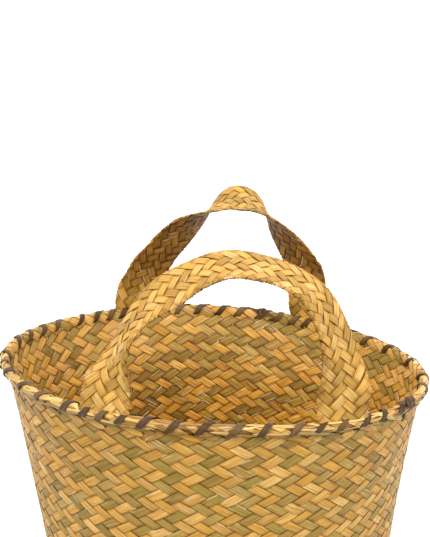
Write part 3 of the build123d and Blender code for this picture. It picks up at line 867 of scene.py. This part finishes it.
def strap_line(table):
    """Dense centre line with the strap's width direction, from one sewn end to the other."""
    rows = catmull(table, 12)
    P = rows[:, :3].copy()
    P[:, 2] += H
    T = unit(np.gradient(P, axis=0))
    side = unit(np.cross(T, np.array([0, 1.0, 0])))
    across = np.cross(side, T)
    psi = np.radians(rows[:, 3])[:, None]
    B = across * np.cos(psi) + side * np.sin(psi)
    fl, _, tl = foot_keys(*table[0][:2])
    fr, _, tr = foot_keys(*table[-1][:2])
    tl = tl * np.sign(np.dot(tl, B[0]))
    tr = tr * np.sign(np.dot(tr, B[-1]))
    keysP = np.concatenate([fl[::-1], P[6:-6:6], fr])
    keysB = np.concatenate([np.tile(tl, (len(fl), 1)), B[6:-6:6], np.tile(tr, (len(fr), 1))])
    keysW = np.concatenate([np.full(len(fl), rows[0, 4]), rows[6:-6:6, 4], np.full(len(fr), rows[-1, 4])])
    d = np.concatenate([[0], np.cumsum(np.linalg.norm(np.diff(keysP, axis=0), axis=1))])
    s = np.linspace(0, d[-1], int(d[-1] / 1.0) + 1)
    wide = np.interp(s, d, keysW) / STRAP_W
    data = np.concatenate([keysP, keysB], 1)
    # smooth by a tension spline through the keys, in arc length
    m = np.gradient(data, d, axis=0)
    i = np.clip(np.searchsorted(d, s, side="right") - 1, 0, len(d) - 2)
    h = (d[i + 1] - d[i])[:, None]
    t = ((s - d[i]) / (d[i + 1] - d[i]))[:, None]
    h00, h10, h01, h11 = 2 * t**3 - 3 * t**2 + 1, t**3 - 2 * t**2 + t, -2 * t**3 + 3 * t**2, t**3 - t**2
    out = h00 * data[i] + h10 * h * m[i] + h01 * data[i + 1] + h11 * h * m[i + 1]
    P, B = out[:, :3], out[:, 3:]
    kern = np.ones(5) / 5
    for _ in range(2):
        for c in range(3):
            P[2:-2, c] = np.convolve(P[:, c], kern, "valid")
            B[2:-2, c] = np.convolve(B[:, c], kern, "valid")
    T = unit(np.gradient(P, axis=0))
    B = unit(B - T * np.sum(B * T, 1)[:, None])
    d = np.concatenate([[0], np.cumsum(np.linalg.norm(np.diff(P, axis=0), axis=1))])
    return d, P, T, B, np.cross(T, B), wide


STRANDS = 9
B_AMP, B_THICK = 0.74, 0.86
B_ALPHA = math.radians(42.0)


def braid_over(c):
    c = np.clip(c, 1.5, STRANDS - 1.5)
    return np.tanh(2.0 * np.cos(TAU * (c - 1.5) / 4)) / math.tanh(2.0)


def braid(name, table, seed, phase, hue_lo, hue_hi):
    d, P, T, B, Nn, wide = strap_line(table)
    total = d[-1]
    W = STRAP_W - 1.2
    tan_a = math.tan(B_ALPHA)
    pitch_x = 2 * W / STRANDS
    pc = Piece(name)
    g0 = np.random.default_rng(seed)
    wide = wide * (1 + wave(len(d), 0.022, 18, seed + 1))
    for k in range(STRANDS):
        g = np.random.default_rng(seed * 100 + k)
        # the strand's own straight run in the unfolded strip
        n_seg = int(total / math.cos(B_ALPHA) / 1.45)
        s = np.linspace(-3.0, total + 3.0, n_seg)
        U = s * tan_a + 2 * W * (k + phase) / STRANDS
        K = len(s)
        half_w = 0.5 * pitch_x * math.cos(B_ALPHA) * g.uniform(0.93, 1.0) * (1 + wave(K, 0.03, 16, int(g.integers(1 << 30))))
        drift = wave(K, 0.16, 18, int(g.integers(1 << 30)))
        x = lateral(5)
        delta = drift[:, None] + half_w[:, None] * x[None]
        Uq = U[:, None] + delta * math.cos(B_ALPHA)
        sq = s[:, None] - delta * math.sin(B_ALPHA)
        u = np.mod(Uq, 2 * W)
        # distance past the nearer folding line, signed along the unfolded strip
        e_right = u - W
        e_left = np.where(u > W, u - 2 * W, u)
        going_right = u < W
        X = np.where(going_right, u, 2 * W - u)
        dp = delta * math.cos(B_ALPHA) / pitch_x + delta * math.sin(B_ALPHA) * tan_a / pitch_x
        c = STRANDS * X / W - np.where(going_right, 1, -1) * dp
        F = braid_over(c)
        z = np.where(going_right, 1.0, -1.0) * B_AMP * F
        xx = X - W / 2
        a = B_AMP
        near_r, near_l = np.abs(e_right) < a, np.abs(e_left) < a
        ar = (e_right / a) * (math.pi / 2)
        al = (e_left / a) * (math.pi / 2)
        xx = np.where(near_r, W / 2 - a + a * np.cos(ar), xx)
        z = np.where(near_r, a * np.sin(ar), z)  # an odd count turns over at its right edge the other way
        xx = np.where(near_l, -W / 2 + a - a * np.cos(al), xx)
        z = np.where(near_l, a * np.sin(al), z)
        # the top side of the ribbon: up on the right-going face, down on the other
        upn = np.where(going_right, 1.0, -1.0)
        nx = -np.where(near_r, np.cos(ar), 0.0) - np.where(near_l, np.cos(al), 0.0)
        nz = np.where(near_r, -np.sin(ar), np.where(near_l, np.sin(al), upn))
        keep = (s > -2.9) & (s < total + 2.9)
        sc = np.clip(sq, 0.05, total - 0.05)
        wv = np.interp(sc, d, wide)

        def at(arr):
            return np.stack([np.interp(sc, d, arr[:, i]) for i in range(3)], -1)

        Pc, Bc, Nc = at(P), unit(at(B)), unit(at(Nn))
        t_half = 0.5 * B_THICK * (1 - 0.34 * x[None] ** 2) * (1 + 0 * sc)
        pos = Pc + Bc * (xx * wv)[..., None] + Nc * z[..., None]
        nvec = Bc * nx[..., None] + Nc * nz[..., None]
        top = pos + nvec * t_half[..., None]
        low = pos - nvec * t_half[..., None]
        rings = np.concatenate([top, low[:, ::-1]], 1)[keep]
        side_of = np.concatenate([z + nz * t_half, (z - nz * t_half)[:, ::-1]], 1)[keep]
        # stops where the strap ends
        mid = s[keep]
        ok = (mid >= 0.3) & (mid <= total - 0.3)
        rings, side_of = rings[ok], side_of[ok]
        tones = np.tile(tone(g.uniform(hue_lo, hue_hi), None, g), (len(rings), 10, 1))
        # painted shade where it dives, and painted shade on the underside of the strap, weaker towards its ends
        dive = np.abs((c[keep][ok] - 1.5) % 2.0 - 1.0)
        tones[:, :5, 1] -= 0.9 * np.exp(-((dive / 0.22) ** 2))
        tones[:, 5:, 1] = tones[:, 4::-1, 1]
        underside_shade_weight = np.interp(np.minimum(mid, total - mid)[ok], [20.0, 42.0], [0.1, 1.0])
        tones[..., 3] = 1 + np.clip(-side_of / 0.3, 0, 1) * underside_shade_weight[:, None]
        pc.sweep(rings, flat_across(5), tones, u0=g.uniform(0, 900), chart_len=200.0)
    return pc, (d, P, B, Nn, wide)


front_pc, front_line = braid("front_handle_braid", front_strap, 61, 0.3, 0.1, 1.0)
rear_pc, rear_line = braid("rear_handle_braid", rear_strap, 83, 0.1, 0.0, 0.75)
front_obj = front_pc.make(handle_mat, 60.0)
rear_obj = rear_pc.make(handle_mat, 60.0)

# ---------------------------------------------------------------- loose fibres
frays = Piece("loose_fibres")
g = np.random.default_rng(202)
for _ in range(260):
    outside = g.uniform() < 0.62
    s0 = g.uniform(8, 225) if g.uniform() < 0.75 else g.uniform(3, 40)
    ph = g.uniform(0, TAU)
    length = g.uniform(4, 13)
    family = 1 if g.uniform() < 0.5 else -1
    t = np.linspace(0, 1, 9)
    rr = float(np.interp(s0, PROF_S, PROF_P[:, 0]))
    sb = min(0.95, PITCH * N / (TAU * rr))
    cb = math.sqrt(1 - sb * sb)
    way = 1 if g.uniform() < 0.5 else -1
    wob = g.normal(0, 0.18)
    ss = s0 + way * length * t * sb
    pp = ph + way * family * length * (t * cb + wob * t * t) / rr
    Pw, Nw = surf(pp, ss)
    lift = (0.95 + g.uniform(0.0, 1.1) * t**1.6 + 0.12 * np.sin(6 * t)) * (1 if outside else -1)
    strand(frays, Pw + Nw * lift[:, None], g.uniform(0.16, 0.42) * np.clip(1.15 - t, 0.12, 1), 0.14, tone(None, None, g), Nw, M=3, crown=0.02)
frays_obj = frays.make(fray_mat)

handle_frays = []
for name, line, count in (("front", front_line, 30), ("rear", rear_line, 26)):
    pc = Piece(name + "_handle_fibres")
    d, P, B, Nn, wide = line
    for _ in range(count):
        at = g.uniform(14.0, d[-1] - 26.0)
        run = g.uniform(4.0, 11.0)
        t = np.linspace(0, 1, 8)
        q = at + run * t
        edge = g.uniform() < 0.6
        x0 = (1 if g.uniform() < 0.5 else -1) * (g.uniform(0.93, 0.99) if edge else g.uniform(0.1, 0.85)) * STRAP_W / 2
        w = np.interp(q, d, wide)
        drift = g.uniform(-0.25, 0.25) * run * t * (0.3 if edge else 1.0) + (np.sign(x0) * g.uniform(0.2, 1.0) * t**2 if edge else 0)
        sgn = 1 if g.uniform() < 0.5 else -1
        up = sgn * (1.05 + g.uniform(0.1, 0.9) * t**1.7)
        ctr, bb, nn = (np.stack([np.interp(q, d, arr[:, i]) for i in range(3)], -1) for arr in (P, B, Nn))
        pts = ctr + bb * (x0 * w + drift)[:, None] + nn * up[:, None]
        strand(pc, pts, g.uniform(0.14, 0.36) * np.clip(1.15 - t, 0.12, 1), 0.14, tone(None, None, g), nn * sgn, M=3, crown=0.02)
    handle_frays.append(pc.make(fray_mat))

# ---------------------------------------------------------------- riding
for name, ob in made.items():
    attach(ob, "basket")
for name, ob in base_made.items():
    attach(ob, "basket")
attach(frays_obj, "basket")

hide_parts("woven_wall")
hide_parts("woven_base")
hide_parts("border_fold")
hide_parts("rim_core")
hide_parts("rim_lashing")
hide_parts("lashing_knots")
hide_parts("front_handle", "front_handle_foot_left", "front_handle_foot_right")
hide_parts("rear_handle", "rear_handle_foot_left", "rear_handle_foot_right")


def hinge_blend(ob, a, b):
    """Bakes the object's transform into its mesh; the hinge line from a to b is worked out but nothing is bent."""
    a, b = np.array(a), np.array(b)
    axis = unit(b - a)
    up = np.array([0, 0, 1.0])
    up = unit(up - axis * np.dot(up, axis))
    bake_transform(ob)


for ob in (front_obj, handle_frays[0]):
    hinge_blend(ob, (-70.1, -132.3, 251.9), (79.6, -126.8, 243.6))
for ob in (rear_obj, handle_frays[1]):
    hinge_blend(ob, (-68.6, 133.6, 248.2), (74.7, 130.4, 240.0))

# ---------------------------------------------------------------- floor
fg = Graph("pale_floor")
tc = fg.node("ShaderNodeTexCoord")
fn = fg.noise(tc.outputs["Object"], 3.0, 4.0, 0.6)
fg.put(fg.p.inputs["Base Color"], fg.ramp(fn, [(0.3, (0.955, 0.955, 0.955)), (0.7, (0.97, 0.97, 0.97))]))
fg.put(fg.p.inputs["Roughness"], fg.remap(fn, 0.2, 0.8, 0.7, 0.8))
floor_me = bpy.data.meshes.new("floor")
E = 60.0
floor_me.from_pydata([(-E, -E, 0), (E, -E, 0), (E, E, 0), (-E, E, 0)], [], [(0, 1, 2, 3)])
floor_me.materials.append(fg.m)
floor = bpy.data.objects.new("floor", floor_me)
floor.location.z = -0.0002
floor.visible_diffuse = False
bpy.context.scene.collection.objects.link(floor)

# ---------------------------------------------------------------- light
world = bpy.data.worlds.new("studio")
bpy.context.scene.world = world
world.use_nodes = True
bg = world.node_tree.nodes.get("Background") or world.node_tree.nodes.new("ShaderNodeBackground")
wt = world.node_tree
w_tc = wt.nodes.new("ShaderNodeTexCoord")
w_sep = wt.nodes.new("ShaderNodeSeparateXYZ")
wt.links.new(w_tc.outputs["Generated"], w_sep.inputs[0])
w_ramp = wt.nodes.new("ShaderNodeMapRange")
w_ramp.interpolation_type = "SMOOTHSTEP"
wt.links.new(w_sep.outputs[2], w_ramp.inputs["Value"])
w_ramp.inputs["From Min"].default_value = -0.34
w_ramp.inputs["From Max"].default_value = 0.0
w_ramp.inputs["To Min"].default_value = 0.14
w_ramp.inputs["To Max"].default_value = 1.06
wt.links.new(w_ramp.outputs["Result"], bg.inputs["Strength"])
bg.inputs["Color"].default_value = (1.0, 0.995, 0.985, 1.0)


def area(name, loc, target, size, energy, colour=(1, 1, 1)):
    data = bpy.data.lights.new(name, "AREA")
    data.shape = "SQUARE"
    data.size = size
    data.energy = energy
    data.color = colour
    ob = bpy.data.objects.new(name, data)
    ob.location = loc
    from mathutils import Vector

    ob.rotation_euler = (Vector(target) - Vector(loc)).to_track_quat("-Z", "Y").to_euler()
    bpy.context.scene.collection.objects.link(ob)
    return ob


sun_data = bpy.data.lights.new("sun", "SUN")
sun_data.energy = 1.5
sun_data.angle = math.radians(22.0)
sun_data.color = (1.0, 0.985, 0.955)
sun = bpy.data.objects.new("sun", sun_data)
sun.rotation_euler = (math.radians(42.0), 0.0, math.radians(-24.0))
bpy.context.scene.collection.objects.link(sun)
area("back", (0.4, 1.8, 1.7), (0, 0, 0.2), 1.2, 6.0)
area("fill", (1.7, -1.2, 0.9), (0, 0, 0.2), 1.3, 9.0)

bpy.context.scene.view_settings.view_transform = "Standard"
bpy.context.scene.view_settings.look = "None"
